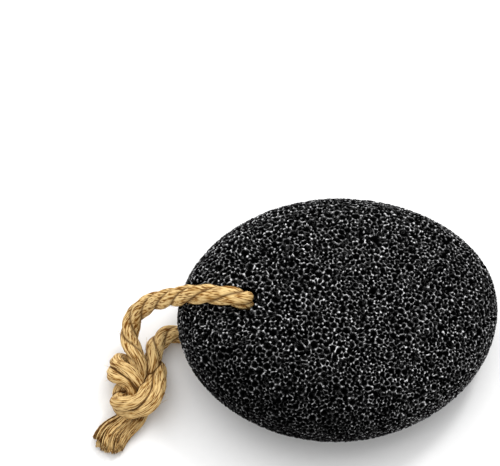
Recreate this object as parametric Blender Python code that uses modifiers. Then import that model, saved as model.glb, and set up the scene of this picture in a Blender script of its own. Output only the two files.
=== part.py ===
"""Pumice foot stone with a rope loop, at real size. Metres, +Z up.

The stone is one natural piece: a flattened egg of lava foam, open pores all over, with one drilled
hole near its narrow end. A single rope goes through the hole, and its two legs are tied together in
a knot beside the stone, where two short frayed tails stick out.

The origin is on the surface that the stone rests on, under the middle of the stone. The stone's
long axis is X, with the hole towards -X.
"""

import math

import bmesh
import bpy
import numpy as np
from mathutils import Matrix, Vector

MM = 0.001

# --- form of the stone: a flattened egg, as half sizes on each side of its pole -----------------
STONE_LEFT = 48.0 * MM
STONE_RIGHT = 50.0 * MM
STONE_FRONT = 41.3 * MM
STONE_BACK = 37.2 * MM
STONE_HALF_THICKNESS = 17.5 * MM
PLAN_POWER = 1.95
TOP_POWER = 2.8
UNDER_POWER = 2.1
STONE_POLE = np.array([-1.0, 2.05, 16.3]) * MM
STONE_TILT = math.radians(3.0)

# --- pores ---------------------------------------------------------------------------------------
PORE_COUNT = 1060
PORE_DEPTH = 0.85
PORE_DEPTH_SPREAD = 0.25
PORE_REACH = 5.2 * MM
PORE_ROUNDS = 60
RIDGE_WEAR = 0.12 * MM
PORE_SEED = 7
PORE_JITTER = 0.03
PORE_PUSH = 0.3
WORN_PATCH_CENTRE = np.array([4.0, 0.0]) * MM
WORN_PATCH_RADIUS = 9.0 * MM
WORN_PATCH_DEPTH = 0.05 * MM

# --- drilled hole --------------------------------------------------------------------------------
BORE_CENTRE = (-28.5 * MM, 3.0 * MM)
BORE_DIAMETER = 7.0 * MM
BORE_SIDES = 20
BORE_LENGTH = 60.0 * MM

# --- rope ----------------------------------------------------------------------------------------
ROPE_DIAMETER = 5.9 * MM
KNOT_ROPE_DIAMETER = 4.4 * MM
GAP = 0.3 * MM
KNOT_STEP = 2.4 * MM
TUBE_RESOLUTION = 2
TUBE_WELD = 0.01 * MM
SPLINE_FINENESS = 40
KNOT_VOXEL = 0.7 * MM
KNOT_SHARE = 0.10
TAIL_BASE_WIDTH = 3.5 * MM
TAIL_FAN_WIDTH = 6.6 * MM
TAIL_PLAIN_WIDTH = 3.2 * MM
TAIL_THICKNESS = 4.4 * MM
TAIL_OPENING_POWER = 1.3
SADDLE_CLEARANCE = 0.35 * MM

# Route of the rope in millimetres, most of it to the nearest half: the upper leg leaves the hole
# over the top of the stone, and the lower leg leaves it under the stone.
UPPER_LEG = [
    (-28.5, 3.0, 17.0), (-28.5, 3.0, 22.0), (-28.5, 3.0, 27.0), (-28.5, 3.0, 32.0),
    (-30.5, 2.5, 35.0), (-34.5, 3.5, 36.0), (-38.0, 4.5, 35.5), (-41.5, 6.0, 34.0),
    (-44.0, 7.0, 32.5), (-47.0, 8.5, 29.5), (-50.0, 10.0, 26.0), (-53.0, 11.5, 22.5),
    (-56.0, 12.5, 19.0), (-59.0, 12.5, 15.5), (-61.5, 11.0, 12.0), (-63.0, 8.0, 10.0),
    (-63.0, 4.5, 9.0),
]
UPPER_KNOT = [
    (-62.5, 1.5, 9.0), (-61.5, -1.5, 8.5), (-61.0, -4.0, 6.5), (-62.0, -6.5, 5.0),
    (-65.0, -9.0, 3.0), (-68.0, -10.5, 4.0), (-69.5, -13.5, 7.5), (-66.5, -15.0, 9.5),
    (-63.0, -14.5, 10.0), (-60.5, -11.5, 9.0), (-58.5, -8.0, 6.5), (-57.5, -3.5, 4.0),
    (-59.5, 0.5, 2.5), (-63.5, 1.5, 2.5), (-67.0, 1.5, 5.0), (-68.0, -1.0, 8.0),
    (-65.0, -5.0, 10.0), (-62.5, -8.5, 8.0), (-61.5, -11.5, 4.5), (-62.5, -16.0, 3.0),
]
UPPER_TAIL = [
    (-64.5, -19.0, 3.0), (-67.0, -21.5, 2.5), (-68.5, -24.0, 2.5), (-69.5, -25.5, 2.0),
]
LOWER_LEG = [
    (-28.5, 3.0, 12.5), (-29.5, 3.0, 8.0), (-32.0, 3.5, 5.0), (-36.0, 4.5, 3.5),
    (-39.5, 6.0, 3.2), (-43.5, 7.5, 3.2), (-47.5, 8.5, 3.2), (-51.0, 8.5, 3.5),
    (-54.5, 6.0, 4.5),
]
LOWER_KNOT = [
    (-57.0, 0.5, 6.5), (-58.0, -3.0, 6.5), (-60.0, -5.0, 4.0), (-63.5, -6.5, 2.5),
    (-68.0, -8.0, 4.0), (-69.0, -11.5, 3.5), (-68.0, -15.0, 4.5), (-65.0, -16.5, 6.5),
    (-62.0, -17.0, 8.5), (-59.0, -15.5, 9.5), (-57.0, -12.0, 9.5), (-56.0, -7.5, 7.5),
    (-56.5, -1.5, 3.5), (-61.5, -1.0, 2.5), (-66.0, -0.5, 3.0), (-69.0, -2.0, 5.0),
    (-69.0, -5.0, 8.0), (-65.0, -8.0, 8.0), (-64.5, -12.0, 5.0), (-66.5, -15.5, 3.5),
]
LOWER_TAIL = [
    (-68.0, -17.5, 3.0), (-70.5, -18.5, 3.0), (-72.5, -20.0, 3.0), (-74.5, -22.5, 2.5),
    (-75.5, -25.0, 2.5),
]
SADDLE_ENDS = (UPPER_LEG[8], LOWER_LEG[6])


def clear_scene():
    """Remove every object that the file starts with."""
    for obj in list(bpy.data.objects):
        bpy.data.objects.remove(obj, do_unlink=True)


def make_collection(name):
    """Make a collection in the scene and return it."""
    collection = bpy.data.collections.new(name)
    bpy.context.scene.collection.children.link(collection)
    return collection


def make_material(name, colour, roughness):
    """Make a plain Principled material."""
    material = bpy.data.materials.new(name)
    material.use_nodes = True
    shader = material.node_tree.nodes["Principled BSDF"]
    shader.inputs["Base Color"].default_value = (*colour, 1.0)
    shader.inputs["Roughness"].default_value = roughness
    shader.inputs["Metallic"].default_value = 0.0
    return material


def add_object(name, data, collection, material=None):
    """Link a new object, with its material if it has one."""
    obj = bpy.data.objects.new(name, data)
    collection.objects.link(obj)
    if material is not None:
        data.materials.append(material)
    return obj


def mark_cutter(obj):
    """Show a cutter as a wire, and leave it out of the model."""
    obj.hide_render = True
    obj.display_type = "WIRE"


def add_cut(obj, cutter):
    """Cut one object with another, live."""
    cut = obj.modifiers.new("cut " + cutter.name, "BOOLEAN")
    cut.operation = "DIFFERENCE"
    cut.solver = "EXACT"
    cut.object = cutter


# --- the stone -----------------------------------------------------------------------------------
def stone_surface(directions):
    """Return the points where rays from the pole leave the stone's smooth form.

    Seen from above the form is an egg, and its sections are fuller above than below. It leans by
    a few degrees, with the narrow end up, because its underside is worn flat off centre.
    """
    x, y, z = directions.T
    half_length = np.where(x > 0.0, STONE_RIGHT, STONE_LEFT)
    half_width = np.where(y > 0.0, STONE_BACK, STONE_FRONT)
    power = np.where(z > 0.0, TOP_POWER, UNDER_POWER)
    plan = (np.abs(x / half_length) ** PLAN_POWER + np.abs(y / half_width) ** PLAN_POWER)
    plan = plan ** (1.0 / PLAN_POWER)
    reach = (plan ** power + np.abs(z / STONE_HALF_THICKNESS) ** power) ** (-1.0 / power)
    points = directions * reach[:, None]
    turned_x = points[:, 0] * math.cos(STONE_TILT) + points[:, 2] * math.sin(STONE_TILT)
    turned_z = points[:, 2] * math.cos(STONE_TILT) - points[:, 0] * math.sin(STONE_TILT)
    return np.stack([turned_x, points[:, 1], turned_z], axis=1) + STONE_POLE


def stone_direction(points):
    """Return the ray from the pole, in the stone's own leaning axes, through each point."""
    x, y, z = (points - STONE_POLE).T
    own_x = x * math.cos(STONE_TILT) - z * math.sin(STONE_TILT)
    own_z = z * math.cos(STONE_TILT) + x * math.sin(STONE_TILT)
    return np.stack([own_x, y, own_z], axis=1)


def spread_pores():
    """Spread the pore centres over the stone, apart from each other but not in rows."""
    rank = np.arange(PORE_COUNT) + 0.5
    height = 1.0 - 2.0 * rank / PORE_COUNT
    turn = math.pi * (1.0 + math.sqrt(5.0)) * rank
    ring = np.sqrt(1.0 - height ** 2)
    sphere = np.stack([ring * np.cos(turn), ring * np.sin(turn), height], axis=1)
    generator = np.random.default_rng(PORE_SEED)
    sphere += generator.normal(0.0, PORE_JITTER, sphere.shape)
    half_sizes = np.array([STONE_RIGHT, STONE_BACK, STONE_HALF_THICKNESS])
    points = stone_surface(sphere * half_sizes)
    for _ in range(PORE_ROUNDS):
        away = points[:, None, :] - points[None, :, :]
        distance = np.linalg.norm(away, axis=2)
        np.fill_diagonal(distance, np.inf)
        push = np.clip(1.0 - distance / PORE_REACH, 0.0, None) / distance
        points = points + PORE_PUSH * PORE_REACH * (away * push[:, :, None]).sum(axis=1)
        points = stone_surface(stone_direction(points))
    return points


def hull_of_pores(points):
    """Join neighbouring pore centres into triangles, as the hull of their places on a ball."""
    half_sizes = np.array([STONE_RIGHT, STONE_BACK, STONE_HALF_THICKNESS])
    ball = stone_direction(points) / np.sqrt(half_sizes)
    ball /= np.linalg.norm(ball, axis=1)[:, None]
    mesh = bmesh.new()
    for place in ball:
        mesh.verts.new(place)
    bmesh.ops.convex_hull(mesh, input=mesh.verts[:])
    mesh.verts.ensure_lookup_table()
    for vertex, place in zip(mesh.verts, points):
        vertex.co = place
    bmesh.ops.beautify_fill(mesh, faces=mesh.faces[:], edges=mesh.edges[:], method="ANGLE")
    return mesh


def sink_pores(mesh):
    """Turn each pore centre's fan into a pit: ridges run between the middles of the triangles."""
    centres = mesh.verts[:]
    old_edges = mesh.edges[:]
    bmesh.ops.poke(mesh, faces=mesh.faces[:])
    bmesh.ops.rotate_edges(mesh, edges=old_edges, use_ccw=False)
    ridges = [vertex for vertex in mesh.verts if vertex not in set(centres)]
    generator = np.random.default_rng(PORE_SEED)
    places = np.array([vertex.co for vertex in ridges])
    places = stone_surface(stone_direction(places))
    inward = STONE_POLE - places
    inward /= np.linalg.norm(inward, axis=1)[:, None]
    places += inward * generator.uniform(0.0, RIDGE_WEAR, len(ridges))[:, None]
    for vertex, place in zip(ridges, places):
        vertex.co = place
        vertex.co.z = max(vertex.co.z, 0.0)
    bmesh.ops.recalc_face_normals(mesh, faces=mesh.faces[:])
    worn = Vector((*WORN_PATCH_CENTRE, 0.0))
    spread = generator.uniform(1.0 - PORE_DEPTH_SPREAD, 1.0 + PORE_DEPTH_SPREAD, len(centres))
    for vertex, share in zip(centres, spread):
        corners = [edge.other_vert(vertex).co for edge in vertex.link_edges]
        middle = sum(corners, Vector()) / len(corners)
        radius = sum((corner - middle).length for corner in corners) / len(corners)
        is_worn = middle.z < WORN_PATCH_DEPTH and (middle - worn).length < WORN_PATCH_RADIUS
        depth = 0.0 if is_worn else PORE_DEPTH * radius * share
        vertex.normal_update()
        vertex.co = middle - vertex.normal * depth


def make_stone(collection, material):
    """Make the stone with its pores, before it is drilled."""
    form = hull_of_pores(spread_pores())
    sink_pores(form)
    data = bpy.data.meshes.new("pumice_stone")
    form.to_mesh(data)
    form.free()
    return add_object("pumice_stone", data, collection, material)


def make_bore_cutter(collection):
    """Make the straight drill that goes down through the narrow end."""
    mesh = bmesh.new()
    radius = BORE_DIAMETER / 2.0
    place = Matrix.Translation((*BORE_CENTRE, STONE_POLE[2]))
    bmesh.ops.create_cone(mesh, cap_ends=True, segments=BORE_SIDES, radius1=radius,
                          radius2=radius, depth=BORE_LENGTH, matrix=place)
    data = bpy.data.meshes.new("bore_cutter")
    mesh.to_mesh(data)
    mesh.free()
    cutter = add_object("bore_cutter", data, collection)
    mark_cutter(cutter)
    return cutter


# --- the rope ------------------------------------------------------------------------------------
def smooth_route(route, step):
    """Return points every step along a natural cubic spline through a route in millimetres."""
    knots = np.array(route) * MM
    spans = np.linalg.norm(np.diff(knots, axis=0), axis=1)
    at = np.concatenate([[0.0], np.cumsum(spans)])
    count = len(knots)
    system = np.zeros((count, count))
    right = np.zeros((count, 3))
    system[0, 0] = 1.0
    system[-1, -1] = 1.0
    inner = np.arange(1, count - 1)
    system[inner, inner - 1] = spans[:-1]
    system[inner, inner] = 2.0 * (spans[:-1] + spans[1:])
    system[inner, inner + 1] = spans[1:]
    slopes = np.diff(knots, axis=0) / spans[:, None]
    right[1:-1] = 6.0 * np.diff(slopes, axis=0)
    bend = np.linalg.solve(system, right)
    fine = np.linspace(0.0, at[-1], SPLINE_FINENESS * count)
    span = np.clip(np.searchsorted(at, fine, side="right") - 1, 0, count - 2)
    width = spans[span][:, None]
    before = ((at[span + 1] - fine)[:, None]) / width
    after = 1.0 - before
    curve = before * knots[span] + after * knots[span + 1]
    sway = (before ** 3 - before) * bend[span] + (after ** 3 - after) * bend[span + 1]
    curve += sway * width ** 2 / 6.0
    length = np.concatenate([[0.0], np.cumsum(np.linalg.norm(np.diff(curve, axis=0), axis=1))])
    places = np.linspace(0.0, length[-1], max(2, round(length[-1] / step) + 1))
    return np.stack([np.interp(places, length, curve[:, axis]) for axis in range(3)], axis=1)


def part_of_route(points, first, last):
    """Return the stretch of a polyline between the places nearest to two route points."""
    start = int(np.argmin(np.linalg.norm(points - np.array(first) * MM, axis=1)))
    end = int(np.argmin(np.linalg.norm(points - np.array(last) * MM, axis=1)))
    return points[start:end + 1]


def reach_past(points, extra):
    """Lengthen a polyline by a little at both ends, straight on."""
    first = points[0] - points[1]
    last = points[-1] - points[-2]
    longer = points.copy()
    longer[0] += first * extra / np.linalg.norm(first)
    longer[-1] += last * extra / np.linalg.norm(last)
    return longer


def make_tube(name, points, radii, collection, material=None):
    """Make a round tube with closed ends along a polyline, as a mesh."""
    curve = bpy.data.curves.new(name, "CURVE")
    curve.dimensions = "3D"
    curve.bevel_depth = 1.0
    curve.bevel_resolution = TUBE_RESOLUTION
    curve.use_fill_caps = True
    spline = curve.splines.new("POLY")
    spline.points.add(len(points) - 1)
    for point, place, radius in zip(spline.points, points, radii):
        point.co = (*place, 1.0)
        point.radius = radius
    guide = add_object(name + "_curve", curve, collection)
    evaluated = guide.evaluated_get(bpy.context.evaluated_depsgraph_get())
    data = bpy.data.meshes.new_from_object(evaluated)
    data.name = name
    weld = bmesh.new()
    weld.from_mesh(data)
    bmesh.ops.remove_doubles(weld, verts=weld.verts[:], dist=TUBE_WELD)
    bmesh.ops.recalc_face_normals(weld, faces=weld.faces[:])
    weld.to_mesh(data)
    weld.free()
    tube = add_object(name, data, collection, material)
    tube.matrix_world = guide.matrix_world
    bpy.data.objects.remove(guide, do_unlink=True)
    data.shade_smooth()
    return tube


def rope_routes():
    """Return the rope from the upper tail's tip to the lower tail's tip, as one smooth line."""
    upper = (UPPER_LEG + UPPER_KNOT + UPPER_TAIL)[::-1]
    lower = LOWER_LEG + LOWER_KNOT + LOWER_TAIL
    return smooth_route(upper + lower, KNOT_STEP)


def loop_line(line):
    """Return the stretch from knot to knot, and its radii: the rope slims where it is gripped."""
    points = part_of_route(line, UPPER_KNOT[0], LOWER_KNOT[0])
    radii = np.full(len(points), ROPE_DIAMETER / 2.0)
    radii[[0, -1]] = KNOT_ROPE_DIAMETER / 2.0
    radii[[1, -2]] = (ROPE_DIAMETER + KNOT_ROPE_DIAMETER) / 4.0
    return points, radii


def make_rope_loop(line, collection, material):
    """Make both legs and the rope in the hole, as one tube from knot to knot."""
    points, radii = loop_line(line)
    return make_tube("rope_loop", points, radii, collection, material)


def make_saddle_cutter(line, collection):
    """Make the rope's own way over the two lips of the hole, where it has worn the stone."""
    points = part_of_route(line, SADDLE_ENDS[0], SADDLE_ENDS[1])
    radii = np.full(len(points), ROPE_DIAMETER / 2.0 + SADDLE_CLEARANCE)
    cutter = make_tube("saddle_cutter", points, radii, collection)
    mark_cutter(cutter)
    return cutter


def make_socket_cutter(name, points, radii, collection):
    """Make the clear way that a leg or a tail needs beside and into the knot."""
    cutter = make_tube(name, reach_past(points, GAP), radii + GAP, collection)
    mark_cutter(cutter)
    return cutter


def tail_radii(count, tip_width):
    """Return a tail's radii from the knot outwards, which change evenly to its frayed tip."""
    share = np.linspace(0.0, 1.0, count) ** TAIL_OPENING_POWER
    return (TAIL_BASE_WIDTH + (tip_width - TAIL_BASE_WIDTH) * share) / 2.0


def make_tail(name, points, radii, collection, material):
    """Make a frayed tail: a tube with its own tip width that is no thicker than the rope."""
    tail = make_tube(name, points, radii, collection, material)
    places = np.array([vertex.co for vertex in tail.data.vertices])
    nearest = np.linalg.norm(places[:, None, :] - points[None, :, :], axis=2).argmin(axis=1)
    flatten = np.minimum(1.0, TAIL_THICKNESS / 2.0 / radii[nearest])
    middle = points[nearest, 2]
    places[:, 2] = middle + (places[:, 2] - middle) * flatten
    tail.data.vertices.foreach_set("co", places.ravel())
    return tail


def make_knot(line, collection, material):
    """Make the knot as one lumpy solid, the rope's two turns grown together."""
    upper = part_of_route(line, UPPER_KNOT[-1], UPPER_KNOT[0])
    lower = part_of_route(line, LOWER_KNOT[0], LOWER_KNOT[-1])
    turns = []
    for index, points in enumerate((upper, lower)):
        radii = np.full(len(points), KNOT_ROPE_DIAMETER / 2.0)
        turns.append(make_tube("knot_turn_%d" % index, points, radii, collection))
    joined = bmesh.new()
    for turn in turns:
        joined.from_mesh(turn.data)
        bpy.data.objects.remove(turn, do_unlink=True)
    data = bpy.data.meshes.new("rope_knot")
    joined.to_mesh(data)
    joined.free()
    knot = add_object("rope_knot", data, collection, material)
    remesh = knot.modifiers.new("grow together", "REMESH")
    remesh.mode = "VOXEL"
    remesh.voxel_size = KNOT_VOXEL
    reduce = knot.modifiers.new("fewer faces", "DECIMATE")
    reduce.ratio = KNOT_SHARE
    data.shade_smooth()
    return knot


def main():
    """Build the stone and its rope."""
    clear_scene()
    parts = make_collection("pumice_stone_with_rope")
    cutters = make_collection("cutters")
    lava = make_material("black_lava", (0.022, 0.022, 0.023), 0.45)
    jute = make_material("jute", (0.58, 0.41, 0.20), 0.85)
    line = rope_routes()
    stone = make_stone(parts, lava)
    add_cut(stone, make_bore_cutter(cutters))
    add_cut(stone, make_saddle_cutter(line, cutters))
    make_rope_loop(line, parts, jute)
    knot = make_knot(line, parts, jute)
    legs, leg_radii = loop_line(line)
    add_cut(knot, make_socket_cutter("leg_cutter", legs, leg_radii, cutters))
    tails = (
        ("rope_tail_a", part_of_route(line, UPPER_TAIL[-1], UPPER_KNOT[-1])[::-1], TAIL_PLAIN_WIDTH),
        ("rope_tail_b", part_of_route(line, LOWER_KNOT[-1], LOWER_TAIL[-1]), TAIL_FAN_WIDTH),
    )
    for name, way, tip_width in tails:
        radii = tail_radii(len(way), tip_width)
        make_tail(name, way, radii, parts, jute)
        add_cut(knot, make_socket_cutter(name + "_cutter", way, radii, cutters))


main()
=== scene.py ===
"""Looks of a black lava foot stone with a jute rope loop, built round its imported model.

The stone is one closed skin of open bubbles. The rope is three strands laid together, carried along
the same route as the solid rope, with frayed ends and a few loose fibres. Lengths are in metres,
apart from the rope's route points.
"""

from __future__ import annotations

import logging
import math
from dataclasses import dataclass, field
from enum import Enum

import bmesh
import bpy
import numpy as np
from mathutils import Matrix, Vector


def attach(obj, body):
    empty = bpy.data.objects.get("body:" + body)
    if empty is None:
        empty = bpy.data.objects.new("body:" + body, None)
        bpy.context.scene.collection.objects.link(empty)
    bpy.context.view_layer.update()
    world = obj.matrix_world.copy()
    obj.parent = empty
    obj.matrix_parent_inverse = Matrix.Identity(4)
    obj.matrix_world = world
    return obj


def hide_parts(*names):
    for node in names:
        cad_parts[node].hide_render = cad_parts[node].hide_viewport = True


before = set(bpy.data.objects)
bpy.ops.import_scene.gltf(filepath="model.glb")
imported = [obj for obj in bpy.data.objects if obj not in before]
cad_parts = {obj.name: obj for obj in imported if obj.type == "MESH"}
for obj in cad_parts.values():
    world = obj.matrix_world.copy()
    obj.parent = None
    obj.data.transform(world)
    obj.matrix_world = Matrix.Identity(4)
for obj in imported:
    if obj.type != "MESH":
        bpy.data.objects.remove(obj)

MM = 0.001
LOG = logging.getLogger("scene")
SPLINE_FINENESS = 60

# Rods take their cross axes from this direction, which none of them quite runs along.
ROD_REFERENCE = (0.21, 0.13, 0.97)

# A line that starts nearer to the vertical than this sine counts as upright.
UPRIGHT = 0.1

# A Mix node's colour sockets share their names with its others, so they go by number.
MIX_COLOURS = (6, 7)
MIX_RESULT = 2

# --- the rope's route in millimetres, as in the part's source ------------------------------------
UPPER_LEG = [
    (-28.5, 3.0, 17.0), (-28.5, 3.0, 22.0), (-28.5, 3.0, 27.0), (-28.5, 3.0, 32.0),
    (-30.5, 2.5, 35.0), (-34.5, 3.5, 36.0), (-38.0, 4.5, 35.5), (-41.5, 6.0, 34.0),
    (-44.0, 7.0, 32.5), (-47.0, 8.5, 29.5), (-50.0, 10.0, 26.0), (-53.0, 11.5, 22.5),
    (-56.0, 12.5, 19.0), (-59.0, 12.5, 15.5), (-61.5, 11.0, 12.0), (-63.0, 8.0, 10.0),
    (-63.0, 4.5, 9.0),
]
UPPER_KNOT = [
    (-62.5, 1.5, 9.0), (-61.5, -1.5, 8.5), (-61.0, -4.0, 6.5), (-62.0, -6.5, 5.0),
    (-65.0, -9.0, 3.0), (-68.0, -10.5, 4.0), (-69.5, -13.5, 7.5), (-66.5, -15.0, 9.5),
    (-63.0, -14.5, 10.0), (-60.5, -11.5, 9.0), (-58.5, -8.0, 6.5), (-57.5, -3.5, 4.0),
    (-59.5, 0.5, 2.5), (-63.5, 1.5, 2.5), (-67.0, 1.5, 5.0), (-68.0, -1.0, 8.0),
    (-65.0, -5.0, 10.0), (-62.5, -8.5, 8.0), (-61.5, -11.5, 4.5), (-62.5, -16.0, 3.0),
]
UPPER_TAIL = [
    (-64.5, -19.0, 3.0), (-67.0, -21.5, 2.5), (-68.5, -24.0, 2.5), (-69.5, -25.5, 2.0),
]
LOWER_LEG = [
    (-28.5, 3.0, 12.5), (-29.5, 3.0, 8.0), (-32.0, 3.5, 5.0), (-36.0, 4.5, 3.5),
    (-39.5, 6.0, 3.2), (-43.5, 7.5, 3.2), (-47.5, 8.5, 3.2), (-51.0, 8.5, 3.5),
    (-54.5, 6.0, 4.5),
]
LOWER_KNOT = [
    (-57.0, 0.5, 6.5), (-58.0, -3.0, 6.5), (-60.0, -5.0, 4.0), (-63.5, -6.5, 2.5),
    (-68.0, -8.0, 4.0), (-69.0, -11.5, 3.5), (-68.0, -15.0, 4.5), (-65.0, -16.5, 6.5),
    (-62.0, -17.0, 8.5), (-59.0, -15.5, 9.5), (-57.0, -12.0, 9.5), (-56.0, -7.5, 7.5),
    (-56.5, -1.5, 3.5), (-61.5, -1.0, 2.5), (-66.0, -0.5, 3.0), (-69.0, -2.0, 5.0),
    (-69.0, -5.0, 8.0), (-65.0, -8.0, 8.0), (-64.5, -12.0, 5.0), (-66.5, -15.5, 3.5),
]
LOWER_TAIL = [
    (-68.0, -17.5, 3.0), (-70.5, -18.5, 3.0), (-72.5, -20.0, 3.0), (-74.5, -22.5, 2.5),
    (-75.5, -25.0, 2.5),
]

# --- the middle lines of the two frayed ends, in millimetres -------------------------------------
PLAIN_COMB = [
    (-61.5, -12.5, 4.0), (-62.5, -16.0, 3.5), (-64.5, -19.0, 3.0), (-67.0, -21.0, 2.5),
    (-69.5, -24.0, 2.5), (-70.5, -25.5, 2.0), (-71.5, -27.0, 2.0),
]
FAN_COMB = [
    (-65.5, -13.0, 4.5), (-66.5, -15.5, 3.5), (-68.5, -17.5, 3.0), (-71.0, -19.0, 3.0),
    (-73.5, -21.0, 3.0), (-75.0, -23.5, 2.5), (-76.0, -27.5, 2.5),
]


class Slot(Enum):
    """The record's material slots."""

    STONE = "lava_foam"
    ROPE = "jute_rope"


# --- mesh helpers --------------------------------------------------------------------------------
def unit(vectors: np.ndarray) -> np.ndarray:
    """Scale each vector along the last axis to length one."""
    length = np.linalg.norm(vectors, axis=-1, keepdims=True)
    return vectors / np.maximum(length, 1e-12)


def along(line: np.ndarray) -> np.ndarray:
    """Return the distance along a line of each of its points."""
    return np.concatenate([[0.0], np.cumsum(np.linalg.norm(np.diff(line, axis=0), axis=1))])


def eased(share: np.ndarray) -> np.ndarray:
    """Ease a share between 0 and 1 at both ends: s * s * (3 - 2 s)."""
    return share * share * (3.0 - 2.0 * share)


def ring_angles(sides: int) -> np.ndarray:
    """Return the angles of the points of a ring."""
    return np.linspace(0.0, math.tau, sides, endpoint=False)


def mesh_from_arrays(name: str, places: np.ndarray, triangles: np.ndarray) -> bpy.types.Mesh:
    """Put vertex and triangle arrays into a new mesh.

    Args:
        name: Name of the mesh.
        places: Vertex positions, one row each.
        triangles: Vertex numbers of each triangle, outward side anticlockwise.

    Returns:
        The mesh, shaded smooth.
    """
    mesh = bpy.data.meshes.new(name)
    mesh.vertices.add(len(places))
    mesh.vertices.foreach_set("co", places.astype(np.float32).ravel())
    mesh.loops.add(triangles.size)
    mesh.loops.foreach_set("vertex_index", triangles.astype(np.int32).ravel())
    mesh.polygons.add(len(triangles))
    mesh.polygons.foreach_set("loop_start", np.arange(0, triangles.size, 3, dtype=np.int32))
    mesh.update(calc_edges=True)
    mesh.validate()
    mesh.shade_smooth()
    return mesh


def put_in_scene(name: str, mesh: bpy.types.Mesh, material: bpy.types.Material) -> bpy.types.Object:
    """Link a mesh as an object at the origin, dressed in one material.

    Args:
        name: Name of the object.
        mesh: Its mesh.
        material: Its finish.

    Returns:
        The object.
    """
    piece = bpy.data.objects.new(name, mesh)
    mesh.materials.clear()
    mesh.materials.append(material)
    bpy.context.scene.collection.objects.link(piece)
    return piece


def store(mesh: bpy.types.Mesh, name: str, values: np.ndarray) -> None:
    """Keep values as a point attribute.

    Args:
        mesh: The mesh.
        name: Name of the attribute.
        values: A number for each vertex, or a row of three for each.
    """
    kind, entry = ("FLOAT", "value") if values.ndim == 1 else ("FLOAT_VECTOR", "vector")
    layer = mesh.attributes.new(name, kind, "POINT")
    layer.data.foreach_set(entry, values.astype(np.float32).ravel())


def grid_triangles(rows: int, columns: int) -> np.ndarray:
    """Return the triangles of a tube grid whose columns close on themselves.

    Vertex (row, column) has number row * columns + column. Each cell is two triangles, turned so
    that the outside is anticlockwise when columns run anticlockwise about the way of the rows.

    Args:
        rows: Rings of the tube.
        columns: Points in each ring.

    Returns:
        Vertex numbers, three for each triangle.
    """
    row, column = np.meshgrid(np.arange(rows - 1), np.arange(columns), indexing="ij")
    after = (column + 1) % columns
    low = row * columns + column
    low_after = row * columns + after
    high = low + columns
    high_after = low_after + columns
    cells = np.stack([low, low_after, high_after, low, high_after, high], axis=-1)
    return cells.reshape(-1, 3)


# --- node helpers --------------------------------------------------------------------------------
class NodeBench:
    """A node tree with short calls for adding and joining its nodes."""

    def __init__(self, tree: bpy.types.NodeTree) -> None:
        """Keep the tree that the calls work on."""
        self.tree = tree

    def add(self, kind: str, values: dict | None = None, **settings: object) -> bpy.types.Node:
        """Add a node.

        Args:
            kind: Blender's name of the node type, without "ShaderNode".
            values: Numbers or colours for its input sockets, by socket name or number.
            settings: Properties of the node.

        Returns:
            The node.
        """
        node = self.tree.nodes.new("ShaderNode" + kind)
        for name, value in settings.items():
            setattr(node, name, value)
        for socket, value in (values or {}).items():
            node.inputs[socket].default_value = value
        return node

    def join(self, source: bpy.types.NodeSocket, target: bpy.types.NodeSocket) -> None:
        """Link an output socket to an input socket."""
        self.tree.links.new(source, target)

    def ramp(self, source: bpy.types.NodeSocket, low: float, high: float,
             to_low: float = 0.0, to_high: float = 1.0) -> bpy.types.NodeSocket:
        """Map a value from one range to another and clamp it.

        Args:
            source: The value.
            low: Value that becomes to_low.
            high: Value that becomes to_high.
            to_low: Start of the new range.
            to_high: End of the new range.

        Returns:
            The mapped value's socket.
        """
        ends = {"From Min": low, "From Max": high, "To Min": to_low, "To Max": to_high}
        node = self.add("MapRange", ends)
        self.join(source, node.inputs["Value"])
        return node.outputs["Result"]

    def math(self, operation: str, first: bpy.types.NodeSocket,
             second: bpy.types.NodeSocket | float) -> bpy.types.NodeSocket:
        """Combine two values with a maths operation.

        Args:
            operation: Blender's name of the operation.
            first: The first value.
            second: The second value, as a socket or a number.

        Returns:
            The result's socket.
        """
        node = self.add("Math", operation=operation)
        self.join(first, node.inputs[0])
        if isinstance(second, (int, float)):
            node.inputs[1].default_value = second
        else:
            self.join(second, node.inputs[1])
        return node.outputs[0]

    def blend(self, share: bpy.types.NodeSocket, first: tuple | bpy.types.NodeSocket,
              second: tuple | bpy.types.NodeSocket) -> bpy.types.NodeSocket:
        """Mix two colours by a share.

        Args:
            share: 0 gives the first colour and 1 the second.
            first: A colour or a colour socket.
            second: A colour or a colour socket.

        Returns:
            The mixed colour's socket.
        """
        node = self.add("Mix", data_type="RGBA")
        self.join(share, node.inputs["Factor"])
        for number, value in zip(MIX_COLOURS, (first, second)):
            if isinstance(value, tuple):
                node.inputs[number].default_value = (*value, 1.0)
            else:
                self.join(value, node.inputs[number])
        return node.outputs[MIX_RESULT]

    def attribute(self, name: str, output: str) -> bpy.types.NodeSocket:
        """Return the socket of a point attribute."""
        return self.add("Attribute", attribute_name=name).outputs[output]

    def bump(self, height: bpy.types.NodeSocket, strength: float,
             distance: float) -> bpy.types.NodeSocket:
        """Turn heights into a normal.

        Args:
            height: The height's socket.
            strength: Share of the relief that shows.
            distance: Relief of a height of one.

        Returns:
            The normal's socket.
        """
        node = self.add("Bump", {"Strength": strength, "Distance": distance})
        self.join(height, node.inputs["Height"])
        return node.outputs[0]


def new_group(name: str, inputs: dict[str, tuple[str, float | tuple]],
              outputs: dict[str, str]) -> tuple[bpy.types.NodeTree, NodeBench]:
    """Make an empty shader node group.

    Args:
        name: Name of the group.
        inputs: Socket type and default value of each input, by name.
        outputs: Socket type of each output, by name.

    Returns:
        The group and a bench for its nodes.
    """
    group = bpy.data.node_groups.new(name, "ShaderNodeTree")
    for label, (kind, value) in inputs.items():
        socket = group.interface.new_socket(label, in_out="INPUT", socket_type=kind)
        socket.default_value = value
    for label, kind in outputs.items():
        group.interface.new_socket(label, in_out="OUTPUT", socket_type=kind)
    return group, NodeBench(group)


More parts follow.
